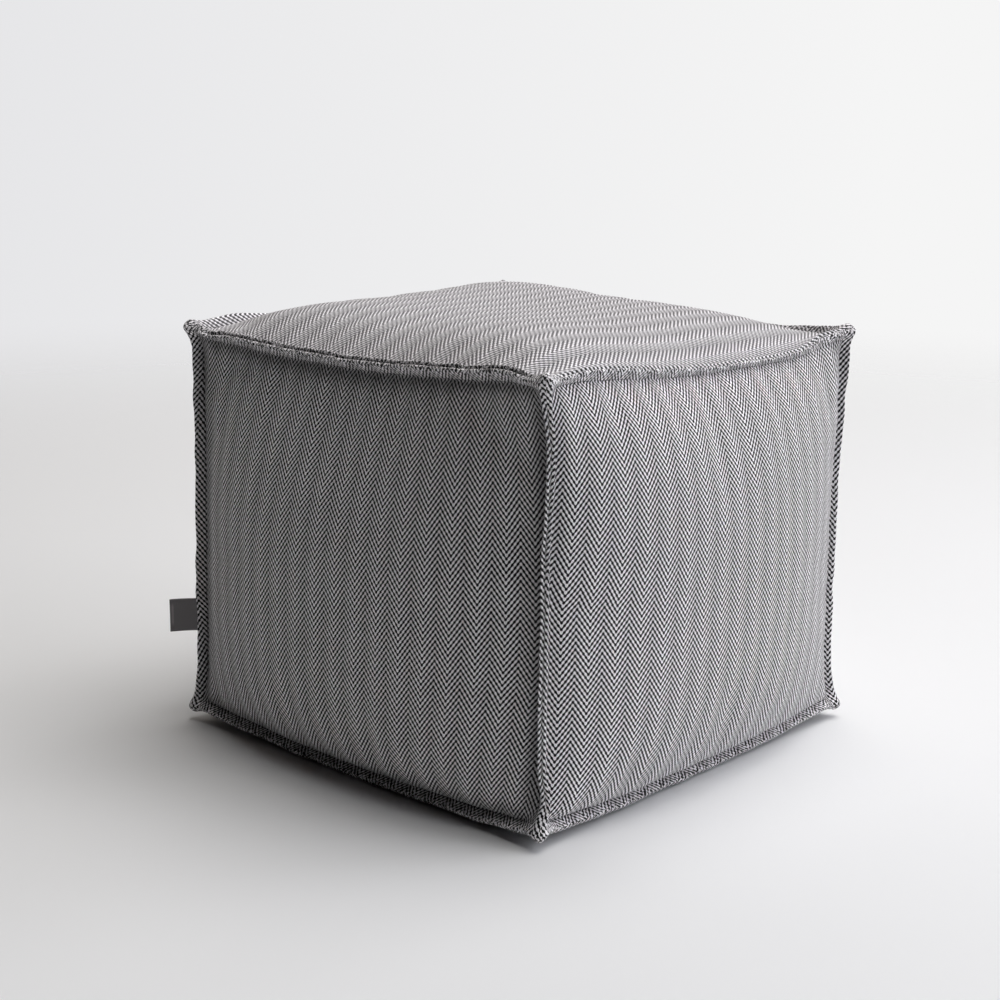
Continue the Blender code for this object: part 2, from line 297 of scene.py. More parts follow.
@dataclass(frozen=True)
class SewingPlan:
    """Where the pouf's seams run and how its flanges stand, as the frame's solid has them."""

    width: float = 0.483
    depth: float = 0.475
    height: float = 0.400
    lift: float = 0.012
    flange: float = 0.0125
    ear: float = 0.0112
    ear_reach: float = 0.0102
    ear_puff: float = 0.0074  # half an ear's thickness
    ear_start: float = 0.88  # place along a seam where its flange begins to swell into the ear
    root_half: float = 0.0020
    roll: float = 0.0023  # radius of each rolled edge
    roll_start: float = 0.56  # share of the flange's cloth before the roll
    roll_turn: float = 0.97 * math.pi
    nose_start: float = 0.40  # share of an ear's cloth before its round nose
    nose_reach: float = 0.55  # how far out that is, as a share of the ear
    ear_full: float = 0.17  # how much fuller an ear stands where its flanges meet
    uneven: float = 0.00035  # how far a seam strays from its even line
    lean_share: float = 1.5  # how far its flange leans at most, as a share of that
    hold: int = 8  # power of the fall towards a seam's ends
    lean_hold: int = 6  # the same for its flange's even lean

    def corner(self, key: Key) -> np.ndarray:
        """Where three root lines meet behind a corner ear.

        Args:
            key: the corner.

        Returns:
            The point.
        """
        x, y, z = key
        row = CORNERS[key]
        top = self.height if z > 0 else 0.0
        box = np.array([x * self.width / 2, y * self.depth / 2, self.lift + top])
        return box + (row.x, row.y, row.z) - np.array(key) * self.ear_reach

    def ear_offset(self, key: Key) -> np.ndarray:
        """From the root lines' corner to the ear's tip."""
        return np.array(key) * self.ear + (0, 0, CORNERS[key].tip_z)

    def wander(self, key: Key, along: np.ndarray) -> tuple[np.ndarray, np.ndarray]:
        """How far a seam departs from its even run.

        Args:
            key: the seam.
            along: places from -1 to 1.

        Returns:
            How far each place stands off, and how far its flange leans aside.
        """
        number = list(SEAMS).index(key)
        free = 1 - np.abs(along) ** self.hold
        uneven = self.uneven * free * Wave(number).at(along)
        high = np.array(key) * uneven[..., None]
        lean = self.lean_share * self.uneven * free * Wave(number + LEAN_SEED).at(along)
        for row in WANDERS:
            if row.seam == key:
                bell = np.exp(-(((along - row.place) / row.spread) ** 2))
                high[..., 2] += row.rise * bell * free
                lean += row.lean * bell * free
        return high, lean

    def root(self, key: Key, along: np.ndarray) -> np.ndarray:
        """Points of a seam's root line.

        Args:
            key: the seam.
            along: places from -1 to 1.

        Returns:
            A point for each place.
        """
        axis = key.index(0)
        low, high = list(key), list(key)
        low[axis] = -1
        high[axis] = 1
        start, end = self.corner(tuple(low)), self.corner(tuple(high))
        at = np.asarray(along)[..., None]
        row = SEAMS[key]
        power = np.where(at < 0, row.low, row.high)
        draw = np.array([key[0] * row.x, key[1] * row.y, key[2] * row.z])
        straight = start + (end - start) * (at + 1) / 2
        high, _ = self.wander(key, np.asarray(along))
        return straight - draw * (1 - np.abs(at) ** power) + high

    def size(self, key: Key, along: np.ndarray) -> np.ndarray:
        """The flange's size at places from -1 to 1 along a seam, as a share of the plain one."""
        return 1 + (SEAMS[key].size - 1) * (1 - np.abs(along) ** self.hold)

    def flange_offset(self, key: Key, along: np.ndarray) -> np.ndarray:
        """From the root line across the flange to its far side.

        Args:
            key: the seam.
            along: places from -1 to 1.

        Returns:
            An offset for each place.
        """
        first, second = [axis for axis in range(3) if key[axis]]
        side = np.zeros(3)
        side[first] = key[first]
        side[second] = -key[second]
        high, aside = self.wander(key, along)
        lean = SEAMS[key].lean * (1 - np.abs(along) ** self.lean_hold) + aside
        width = self.flange * self.size(key, along)
        straight = np.array(key) * width[..., None] + side * lean[..., None]
        return straight / math.sqrt(2) + high

    def profile(self, share: np.ndarray, ear: np.ndarray) -> tuple[np.ndarray, np.ndarray]:
        """The flange's outline: out from the root, round the roll and into the groove. At an
        ear the cloth closes over a round nose instead.

        Args:
            share: share of the cloth from the root to the joined edge.
            ear: 0 on a plain flange, to 1 on an ear.

        Returns:
            How far it stands out, as a share of the flange, and half the thickness there.
        """
        centre = self.flange - self.roll
        part = np.clip(share / self.roll_start, 0, 1)
        turn = np.clip((share - self.roll_start) / (1 - self.roll_start), 0, 1) * self.roll_turn
        reach = (part * centre + self.roll * np.sin(turn)) / self.flange
        rolled = self.roll * (1 + np.cos(turn))
        flat = self.root_half + (2 * self.roll - self.root_half) * smooth_step(part)
        half = np.where(turn > 0, rolled, flat)
        body = np.clip(share / self.nose_start, 0, 1)
        bend = np.clip((share - self.nose_start) / (1 - self.nose_start), 0, 1) * math.pi / 2
        nose_reach = self.nose_reach * body + (1 - self.nose_reach) * np.sin(bend)
        rising = self.root_half + (self.ear_puff - self.root_half) * np.sin(body * math.pi / 2)
        nose = rising * np.cos(bend)
        return reach + (nose_reach - reach) * ear, half + (nose - half) * ear


# Cover ---------------------------------------------------------------------------------------

EAR_NEAR = 10.0 * MM  # an ear is evened out fully within this distance of its tip
EAR_FAR = 30.0 * MM
EAR_ROUNDS = 60
SEAM_SHADE_RUN = 0.10  # share of half a panel over which a seam's painted shade fades


@dataclass(frozen=True)
class Lay:
    """How a panel's cloth was laid and taken up: where a valley of the weave lies from its
    middle, how far the weave shears, the extra share of cloth gathered across it, the cloth
    lost in the upright seam at either end, and how much painted shade lies beside its seams."""

    valley: float = 0.0
    shear: float = 0.0
    low_tuck: float = 0.0
    high_tuck: float = 0.0
    top: float = 0.0
    top_power: float = 2.0
    low: float = 0.0
    low_power: float = 2.0
    painted_seam_shade: float = 0.0


LAYS: dict[Side, Lay] = {
    Side.LEFT: Lay(valley=9.5 * MM, high_tuck=0.5 * MM, top=0.08, low=0.10, painted_seam_shade=0.55),
    Side.RIGHT: Lay(valley=-2.0 * MM, shear=4.0 * MM, low_tuck=14.5 * MM, top=0.08, top_power=0.8),
    Side.FAR_LEFT: Lay(top=0.08, low=0.08, painted_seam_shade=0.30),
    Side.FAR_RIGHT: Lay(top=0.08, low=0.08, painted_seam_shade=0.30),
    Side.TOP: Lay(),
    Side.BASE: Lay(),
}


@dataclass(frozen=True)
class Lattice:
    """Where a panel's lattice points lie: their places between its root lines, from -1 to 1, and
    their shares of the flanges beyond those."""

    s: np.ndarray
    t: np.ndarray
    out_s: np.ndarray
    out_t: np.ndarray


@dataclass
class Cover:
    """The sewn cover with its filling: one closed cloth surface of six panels.

    Its points are laid out on a cube's lattice, so that panels share the line where their flanges
    join, and each panel keeps its flat cloth coordinates, in metres, for the weave.
    """

    plan: SewingPlan
    cells: int = 100
    flange_cells: int = 14
    crowding: float = 0.34
    points: dict[Side, np.ndarray] = field(default_factory=dict)

    @property
    def lines(self) -> int:
        """Cells from one edge of a panel to the other, flanges included."""
        return self.cells + 2 * self.flange_cells

    def places(self) -> tuple[np.ndarray, np.ndarray]:
        """The lattice lines across a panel.

        Returns:
            The place between the root lines, from -1 to 1, and the share of the flange.
        """
        line = np.arange(self.lines + 1) - self.lines // 2
        half = self.cells // 2
        even = np.clip(np.abs(line) / half, 0, 1)
        crowded = even + (np.sin(even * math.pi / 2) - even) * self.crowding
        beyond = np.clip((np.abs(line) - half) / self.flange_cells, 0, 1)
        return np.sign(line) * crowded, beyond

    @staticmethod
    def axes(side: Side) -> tuple[int, int, int]:
        """The axes of a panel.

        Args:
            side: the panel.

        Returns:
            Its outward axis and the two that it spans.
        """
        axis = next(index for index in range(3) if side.value[index])
        first, second = [index for index in range(3) if index != axis]
        return axis, first, second

    def key(self, side: Side, first_sign: int, second_sign: int) -> Key:
        """Names a seam or a corner of a panel.

        Args:
            side: the panel.
            first_sign: its side along the panel's first axis, or 0.
            second_sign: its side along the second one, or 0.

        Returns:
            The key.
        """
        _, first, second = self.axes(side)
        sides = list(side.value)
        sides[first] = first_sign
        sides[second] = second_sign
        return tuple(sides)

    def spanned(self, side: Side, at: Lattice) -> np.ndarray:
        """The even surface between a panel's four root lines.

        Args:
            side: the panel.
            at: its lattice.

        Returns:
            A point for each lattice point.
        """
        plan, key = self.plan, partial(self.key, side)
        across, up = ((at.s + 1) / 2)[..., None], ((at.t + 1) / 2)[..., None]
        point = plan.root(key(-1, 0), at.t) * (1 - across) + plan.root(key(1, 0), at.t) * across
        point += plan.root(key(0, -1), at.s) * (1 - up) + plan.root(key(0, 1), at.s) * up
        for sign, share in ((-1, 1 - across), (1, across)):
            for end, part in ((-1, 1 - up), (1, up)):
                point -= plan.corner(key(sign, end)) * share * part
        return point

    @staticmethod
    def swell(side: Side, at: Lattice) -> np.ndarray:
        """How far the filling pushes a panel out of that surface.

        Args:
            side: the panel.
            at: its lattice.

        Returns:
            A distance for each lattice point.
        """
        row = SWELLS[side]
        high = 1 - np.clip(at.t, 0, 1) ** row.up
        low = (1 - np.clip(-at.t, 0, 1) ** row.down) ** row.low_power
        crown = row.crown * (1 - np.abs(at.s) ** row.across) * np.where(at.t > 0, high, low)
        run = np.where(at.t > 0, row.upper_run, SHOULDER_RUN)
        edge_s = 1 - np.exp((np.abs(at.s) - 1) / SHOULDER_RUN)
        edge_t = 1 - np.exp((np.abs(at.t) - 1) / run)
        return crown + row.shoulder * edge_s * edge_t

    def beyond_roots(self, side: Side, at: Lattice) -> np.ndarray:
        """From a panel's root lines across its flanges, and out to the ears' tips.

        Args:
            side: the panel.
            at: its lattice.

        Returns:
            An offset for each lattice point.
        """
        plan, key = self.plan, partial(self.key, side)
        far_s, far_t = (at.s >= 0)[..., None], (at.t >= 0)[..., None]
        flange_s = np.where(
            far_s, plan.flange_offset(key(1, 0), at.t), plan.flange_offset(key(-1, 0), at.t)
        )
        flange_t = np.where(
            far_t, plan.flange_offset(key(0, 1), at.s), plan.flange_offset(key(0, -1), at.s)
        )
        # The two flanges give way to the ear along a round line.
        offset = (at.out_s * np.cos(at.out_t * math.pi / 2))[..., None] * flange_s
        offset += (at.out_t * np.cos(at.out_s * math.pi / 2))[..., None] * flange_t
        full = 1 + plan.ear_full - plan.ear_full * np.minimum(at.out_s, at.out_t)
        ear_share = (at.out_s * at.out_t)[..., None] * full[..., None]
        for sign, beside in ((-1, ~far_s), (1, far_s)):
            for end, level in ((-1, ~far_t), (1, far_t)):
                offset += ear_share * (beside & level) * plan.ear_offset(key(sign, end))
        return offset

    def thickness_way(self, side: Side, at: Lattice) -> np.ndarray:
        """Which way a flange's or an ear's thickness stands off its middle.

        Args:
            side: the panel.
            at: its lattice.

        Returns:
            A direction for each lattice point.
        """
        _, first, second = self.axes(side)
        outward, unit = np.array(side.value, float), np.eye(3)
        side_s = np.where(at.s < 0, -1, 1)[..., None] * unit[first]
        side_t = np.where(at.t < 0, -1, 1)[..., None] * unit[second]
        only_s = (at.out_s * (1 - at.out_t))[..., None]
        only_t = (at.out_t * (1 - at.out_s))[..., None]
        both = (at.out_s * at.out_t)[..., None]
        way = outward * ((1 - at.out_s) * (1 - at.out_t))[..., None]
        way = way + (outward - side_s) * only_s / math.sqrt(2)
        way = way + (outward - side_t) * only_t / math.sqrt(2)
        return way + (outward * 2 - side_s - side_t) * both / math.sqrt(6)

    def panel(self, side: Side) -> np.ndarray:
        """Every lattice point of a panel's outer side.

        Args:
            side: the panel.

        Returns:
            Points, by line across and line up.
        """
        plan, key = self.plan, partial(self.key, side)
        place, beyond = self.places()
        at = Lattice(
            *np.meshgrid(place, place, indexing="ij"), *np.meshgrid(beyond, beyond, indexing="ij")
        )
        point = self.spanned(side, at)
        raised = (self.swell(side, at) + plan.root_half)[..., None]
        filled = point + np.array(side.value, float) * raised

        share = np.maximum(at.out_s, at.out_t)
        on_s = at.out_s >= at.out_t
        near = np.where(on_s, np.abs(at.t), np.abs(at.s))
        ear = smooth_step((near - plan.ear_start) / (1 - plan.ear_start))
        reach, half = plan.profile(share, ear)
        size_s = np.where(at.s < 0, plan.size(key(-1, 0), at.t), plan.size(key(1, 0), at.t))
        size_t = np.where(at.t < 0, plan.size(key(0, -1), at.s), plan.size(key(0, 1), at.s))
        half *= np.where(on_s, size_s, size_t)
        stretch = np.where(share > 0, reach / np.maximum(share, 1e-9), 0)[..., None]
        thick = self.thickness_way(side, at) * half[..., None]
        sewn = point + self.beyond_roots(side, at) * stretch + thick
        found = np.where((share > 0)[..., None], sewn, filled)
        found[..., 2] = np.maximum(found[..., 2], 0)
        return found

    def cloth(self, side: Side) -> np.ndarray:
        """Flat cloth coordinates of a panel's lattice points, in metres from a weave's valley.

        Args:
            side: the panel.

        Returns:
            Across and up, for each point.
        """
        points = self.points[side]
        middle, low, high = self.lines // 2, self.flange_cells, self.lines - self.flange_cells

        def run(axis: int) -> np.ndarray:
            """Measures every lattice line along an axis.

            Args:
                axis: the axis.

            Returns:
                The length from the line's middle to each point.
            """
            steps = np.linalg.norm(np.diff(points, axis=axis), axis=2)
            start = np.zeros_like(points[:1, :, 0] if axis == 0 else points[:, :1, 0])
            total = np.concatenate([start, np.cumsum(steps, axis=axis)], axis=axis)
            return total - np.take(total, [middle], axis=axis)

        lay = LAYS[side]
        place, _ = self.places()
        gather = lay.top * np.clip(place, 0, 1) ** lay.top_power
        gather += lay.low * np.clip(-place, 0, 1) ** lay.low_power
        along, up = run(0), run(1)
        across = along[:, middle : middle + 1] * (1 + gather)[None] - lay.shear * place[None]
        # Beyond a root line the cloth goes on by its own length: over the flanges and ears.
        across[high + 1 :] = across[high] + along[high + 1 :] - along[high] + lay.high_tuck
        across[:low] = across[low] + along[:low] - along[low] + lay.low_tuck
        for root, beyond in ((low, slice(0, low)), (high, slice(high + 1, None))):
            ears = up[beyond].copy()
            up[beyond] = up[root]
            up[beyond, :low] = up[root, low] + ears[:, :low] - ears[:, low : low + 1]
            up[beyond, high:] = up[root, high] + ears[:, high:] - ears[:, high : high + 1]
        return np.stack([across - lay.valley, up], axis=-1)

    def joined(self) -> np.ndarray:
        """Numbers the lattice points, so that panels share the lines where their flanges join.

        Returns:
            A vertex number for each panel and lattice point.
        """
        count = self.lines + 1
        i, j = np.meshgrid(np.arange(count), np.arange(count), indexing="ij")
        codes = []
        for side in Side:
            axis, first, second = self.axes(side)
            place = np.zeros(i.shape + (3,), int)
            place[..., axis] = self.lines if side.value[axis] > 0 else 0
            place[..., first], place[..., second] = i, j
            codes.append(place @ (count * count, count, 1))
        _, numbers = np.unique(np.stack(codes), return_inverse=True)
        return numbers.reshape(len(Side), count, count)

    def corners(self, side: Side, grid: np.ndarray) -> np.ndarray:
        """What a panel's grid holds at the four corners of each cell, in outward order.

        Args:
            side: the panel.
            grid: a value or a vector for each lattice point.

        Returns:
            The values, by cell and corner.
        """
        around = np.stack([grid[:-1, :-1], grid[1:, :-1], grid[1:, 1:], grid[:-1, 1:]], axis=2)
        cells = around.reshape(self.lines**2, 4, *grid.shape[2:])
        axis = self.axes(side)[0]
        # X by Y and Y by Z turn outwards on the positive sides, X by Z on the negative one.
        outwards = (side.value[axis] > 0) != (axis == 1)
        return cells if outwards else cells[:, ::-1]

    def round_ears(self, vertices: np.ndarray, quads: np.ndarray) -> None:
        """Evens out the cloth at the ears, which turned cloth makes round and full.

        Args:
            vertices: the cover's points, which it changes.
            quads: its faces.
        """
        tips = [self.plan.corner(key) + self.plan.ear_offset(key) for key in CORNERS]
        away = np.min([np.linalg.norm(vertices - tip, axis=1) for tip in tips], axis=0)
        share = smooth_step((EAR_FAR - away) / (EAR_FAR - EAR_NEAR))
        beside = np.roll(quads, 1, axis=1)
        start = np.concatenate([quads.ravel(), beside.ravel()])
        end = np.concatenate([beside.ravel(), quads.ravel()])
        free = share[start] > 0
        start, end = start[free], end[free]
        moving = np.flatnonzero(share > 0)
        count = np.bincount(start, minlength=len(vertices))[moving, None]
        for _ in range(EAR_ROUNDS):
            total = [np.bincount(start, vertices[end, n], len(vertices)) for n in range(3)]
            mean = np.stack(total, axis=1)[moving] / count
            vertices[moving] += (mean - vertices[moving]) * share[moving, None] / 2

    def mesh(self) -> Mesh:
        """Sews the panels' points into one closed mesh with the cloth coordinates.

        Returns:
            The mesh.
        """
        numbers = self.joined()
        vertices = np.zeros((numbers.max() + 1, 3))
        for number, side in enumerate(Side):
            vertices[numbers[number]] = self.points[side]
        quads = np.concatenate([self.corners(side, grid) for side, grid in zip(Side, numbers)])
        self.round_ears(vertices, quads)
        for number, side in enumerate(Side):
            self.points[side] = vertices[numbers[number]]
        coordinates = np.concatenate([self.corners(side, self.cloth(side)) for side in Side])

        mesh = bpy.data.meshes.new("cover")
        mesh.vertices.add(len(vertices))
        mesh.vertices.foreach_set("co", vertices.astype(np.float32).ravel())
        mesh.loops.add(quads.size)
        mesh.loops.foreach_set("vertex_index", quads.astype(np.int32).ravel())
        mesh.polygons.add(len(quads))
        mesh.polygons.foreach_set("loop_start", np.arange(0, quads.size, 4, dtype=np.int32))
        mesh.update(calc_edges=True)
        layer = mesh.uv_layers.new(name=UV_NAME)
        layer.data.foreach_set("uv", coordinates.astype(np.float32).ravel())
        place, beyond = self.places()
        crumpled = np.broadcast_to(beyond, (self.lines + 1,) * 2)
        open_cloth = (1 - beyond[:, None]) * (1 - beyond)
        # Painted shade beside each root line, fading out over a share of half a panel.
        beside = smooth_step((np.abs(place) - 1 + SEAM_SHADE_RUN) / SEAM_SHADE_RUN) * (1 - beyond) ** 3
        painted_seam_shade = np.maximum(beside[:, None] * (beyond == 0), beside * (beyond == 0)[:, None])
        for name, wear in (
            (CRUMPLED, [crumpled for side in Side]),
            # Painted sheen on the top panel's open cloth.
            (PAINTED_TOP_SHEEN, [open_cloth * (side is Side.TOP) for side in Side]),
            # Painted shade beside the seams, more on some panels than on others.
            (PAINTED_SEAM_SHADE, [painted_seam_shade * LAYS[side].painted_seam_shade for side in Side]),
        ):
            values = np.concatenate([self.corners(side, grid) for side, grid in zip(Side, wear)])
            attribute = mesh.attributes.new(name, "FLOAT", "CORNER")
            attribute.data.foreach_set("value", values.astype(np.float32).ravel())
        mesh.validate()
        mesh.shade_smooth()
        return mesh

    def build(self, filling: "Filling", finish: "HerringboneTwill") -> Object:
        """Makes the cover, fills and dresses it and puts it on its body.

        Args:
            filling: what presses the panels out.
            finish: the cloth.

        Returns:
            The piece.
        """
        self.points = {side: self.panel(side) for side in Side}
        filling.press(self)
        piece = new_piece("Pouf_cover", self.mesh())
        piece.data.materials.append(finish.material())
        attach(piece, BODY)
        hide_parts("Pouf_body")
        return piece


# How the simulated cloth behaves: heavy upholstery cloth, which bends more than it stretches.
PRESSED_CLOTH = {
    "quality": 6,
    "mass": 0.3,
    "tension_stiffness": 20,
    "compression_stiffness": 20,
    "shear_stiffness": 8,
    "bending_stiffness": 0.4,
    "use_pressure": True,
}


@dataclass(frozen=True)
class Filling:
    """The soft filling, which presses the panels out against their seams.

    Blender's cloth simulation does that on a coarser cover, held at its seams and cut a little
    larger than it sits, so that it puckers. The plan has the even swell already, so the fine
    cover takes only the puckers from it.
    """

    cells: int = 52
    flange_cells: int = 4
    pressure: float = 4.0
    spare: float = 0.025  # how much larger the panels are cut, as a share
    frames: int = 20
    even_rounds: int = 40  # of smoothing, which leaves the even swell
    carry_rounds: int = 3  # of smoothing on the fine cover
    hold: int = 30  # power of the puckers' fall towards the seams
    share: float = 0.45  # how much of the puckers the fine cover takes
    most: float = 2.5 * MM  # how far a point may move

    def press(self, cover: Cover) -> None:
        """Presses a cover's panels out.

        Args:
            cover: the fine cover, whose points move.
        """
        coarse = Cover(cover.plan, self.cells, self.flange_cells)
        coarse.points = {side: coarse.panel(side) for side in Side}
        numbers = coarse.joined()
        piece = new_piece("Pressing", coarse.mesh())
        rest = np.array([vertex.co for vertex in piece.data.vertices])
        inner = slice(self.flange_cells + 1, -self.flange_cells - 1)
        free = np.zeros(len(rest), bool)
        for grid in numbers:
            free[grid[inner, inner]] = True
        seams = piece.vertex_groups.new(name="Seams")
        seams.add(np.flatnonzero(~free).tolist(), 1.0, "REPLACE")
        self.simulate(piece, seams.name)
        shown = piece.evaluated_get(bpy.context.evaluated_depsgraph_get())
        pressed = shown.to_mesh()
        moved = np.array([vertex.co for vertex in pressed.vertices]) - rest
        shown.to_mesh_clear()
        length = np.linalg.norm(moved, axis=1)
        log.info("filling moves the cloth by %.1f mm on average", length[free].mean() / MM)
        discard(piece)
        for number, side in enumerate(Side):
            if side is not Side.BASE:
                puckers = moved[numbers[number]]
                puckers -= self.evened(puckers, self.even_rounds)
                size = np.linalg.norm(puckers, axis=2, keepdims=True) * self.share
                puckers *= self.share * self.most / np.maximum(size, self.most)
                cover.points[side] += self.carry(coarse, cover, puckers)

    def simulate(self, piece: Object, seams: str) -> None:
        """Runs the cloth simulation up to its last frame.

        Args:
            piece: the coarse cover.
            seams: the group of its points that are held.
        """
        cloth = piece.modifiers.new("Pressed", "CLOTH")
        settings = cloth.settings
        for name, value in PRESSED_CLOTH.items():
            setattr(settings, name, value)
        settings.uniform_pressure_force = self.pressure
        settings.effector_weights.gravity = 0
        settings.vertex_group_mass = seams
        settings.shrink_min = -self.spare
        cloth.collision_settings.use_collision = False
        cloth.collision_settings.use_self_collision = False
        cloth.point_cache.frame_start = 1
        cloth.point_cache.frame_end = self.frames
        for number in range(1, self.frames + 1):
            bpy.context.scene.frame_set(number)

    @staticmethod
    def evened(grid: np.ndarray, rounds: int) -> np.ndarray:
        """Smooths the vectors on a panel's lattice.

        Args:
            grid: a vector for each lattice point, which are none at the borders.
            rounds: how often each vector is averaged with its neighbours.

        Returns:
            The smoothed vectors.
        """
        for _ in range(rounds):
            for axis in (0, 1):
                grid = (np.roll(grid, 1, axis) + 2 * grid + np.roll(grid, -1, axis)) / 4
        return grid

    def carry(self, coarse: Cover, fine: Cover, moved: np.ndarray) -> np.ndarray:
        """Spreads the moves of a coarse panel over the same panel of the fine cover.

        Args:
            coarse: the coarse cover.
            fine: the fine cover.
            moved: the coarse panel's moves.

        Returns:
            The fine panel's moves.
        """
        place, beyond = coarse.places()
        lines = place + np.sign(place) * beyond
        wanted, out = fine.places()
        at = np.interp(wanted + np.sign(wanted) * out, lines, np.arange(len(lines)))
        low = np.clip(np.floor(at).astype(int), 0, len(lines) - 2)
        part = (at - low)[:, None]
        along = moved[low] * (1 - part[..., None]) + moved[low + 1] * part[..., None]
        spread = along[:, low] * (1 - part) + along[:, low + 1] * part
        found = self.evened(spread, self.carry_rounds)
        open_cloth = 1 - np.clip(np.abs(wanted), 0, 1) ** self.hold
        return found * open_cloth[:, None, None] * open_cloth[None, :, None]


# Stitches ------------------------------------------------------------------------------------


@dataclass(frozen=True)
class Topstitching:
    """The stitches that hold each flange together at its root, on both of its faces.

    The panels' own lattice lines carry them; Geometry Nodes lays a stitch at every step.
    """

    cover: Cover
    line: int = 1  # lattice lines out from the root
    long: float = 3.4 * MM
    step: float = 4.4 * MM
    radius: float = 0.35 * MM
    tilt: float = 0.10  # radians at most
    seed: int = 4

    def rows(self) -> Mesh:
        """The stitched lines, as loose edges.

        Returns:
            The mesh.
        """
        low, high = self.cover.flange_cells, self.cover.lines - self.cover.flange_cells
        points, edges = [], []
        for grid in self.cover.points.values():
            for line in (low - self.line, high + self.line):
                for row in (grid[line, low : high + 1], grid[low : high + 1, line]):
                    first = len(points)
                    points.extend(row.tolist())
                    edges.extend((at, at + 1) for at in range(first, len(points) - 1))
        mesh = bpy.data.meshes.new("rows")
        mesh.from_pydata(points, edges, [])
        return mesh

    def tree(self, material: Material) -> tuple[NodeTree, dict[str, str]]:
        """The node tree that lays the stitches.

        Args:
            material: the thread.

        Returns:
            The tree, and the identifier of each of its inputs by name.
        """
        tree = bpy.data.node_groups.new("Lay stitches", "GeometryNodeTree")
        face = tree.interface
        face.new_socket("Geometry", in_out="OUTPUT", socket_type="NodeSocketGeometry")
        face.new_socket("Geometry", in_out="INPUT", socket_type="NodeSocketGeometry")
        sizes = {
            name: face.new_socket(name, in_out="INPUT", socket_type="NodeSocketFloat").identifier
            for name in ("Step", "Length", "Radius", "Tilt")
        }
        given = add_node(tree, "NodeGroupInput").outputs
        curve = output(tree, "GeometryNodeMeshToCurve", {"Mesh": given["Geometry"]})
        spaced = {"Curve": curve, "Length": given["Step"]}
        places = output(tree, "GeometryNodeResampleCurve", spaced, mode="LENGTH")
        tangent = output(tree, "GeometryNodeInputTangent")
        turned = output(tree, "FunctionNodeAlignRotationToVector", {"Vector": tangent}, axis="Z")
        less = output(tree, "ShaderNodeMath", {0: given["Tilt"], 1: -1.0}, operation="MULTIPLY")
        chance = add_node(
            tree,
            "FunctionNodeRandomValue",
            {"Min": less, "Max": given["Tilt"], "Seed": self.seed},
            data_type="FLOAT",
        ).outputs["Value"]
        lean = output(tree, "ShaderNodeCombineXYZ", {"X": chance, "Y": chance})
        leaning = output(
            tree, "FunctionNodeRotateRotation", {0: turned, 1: lean}, rotation_space="LOCAL"
        )
        ball = output(tree, "GeometryNodeMeshUVSphere", {"Segments": 6, "Rings": 4, "Radius": 1.0})
        half = output(tree, "ShaderNodeMath", {0: given["Length"], 1: 0.5}, operation="MULTIPLY")
        thick = {"X": given["Radius"], "Y": given["Radius"], "Z": half}
        size = output(tree, "ShaderNodeCombineXYZ", thick)
        stitches = {"Points": places, "Instance": ball, "Rotation": leaning, "Scale": size}
        laid = output(tree, "GeometryNodeInstanceOnPoints", stitches)
        real = output(tree, "GeometryNodeRealizeInstances", {0: laid})
        smooth = output(tree, "GeometryNodeSetShadeSmooth", {0: real})
        dressed = output(tree, "GeometryNodeSetMaterial", {0: smooth})
        dressed.node.inputs["Material"].default_value = material
        add_node(tree, "NodeGroupOutput", {0: dressed}, is_active_output=True)
        return tree, sizes

    def build(self, finish: "SewingThread") -> Object:
        """Lays the stitches and puts them on their body.

        Args:
            finish: the thread.

        Returns:
            The piece.
        """
        rows = new_piece("Stitched_lines", self.rows())
        tree, sizes = self.tree(finish.material())
        modifier = rows.modifiers.new("Stitches", "NODES")
        modifier.node_group = tree
        values = {"Step": self.step, "Length": self.long, "Radius": self.radius, "Tilt": self.tilt}
        for name, identifier in sizes.items():
            modifier[identifier] = values[name]
        shown = rows.evaluated_get(bpy.context.evaluated_depsgraph_get())
        piece = new_piece("Flange_stitches", bpy.data.meshes.new_from_object(shown))
        discard(rows)
        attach(piece, BODY)
        log.info("stitches: %d faces", len(piece.data.polygons))
        return piece


# Ribbon tab ----------------------------------------------------------------------------------


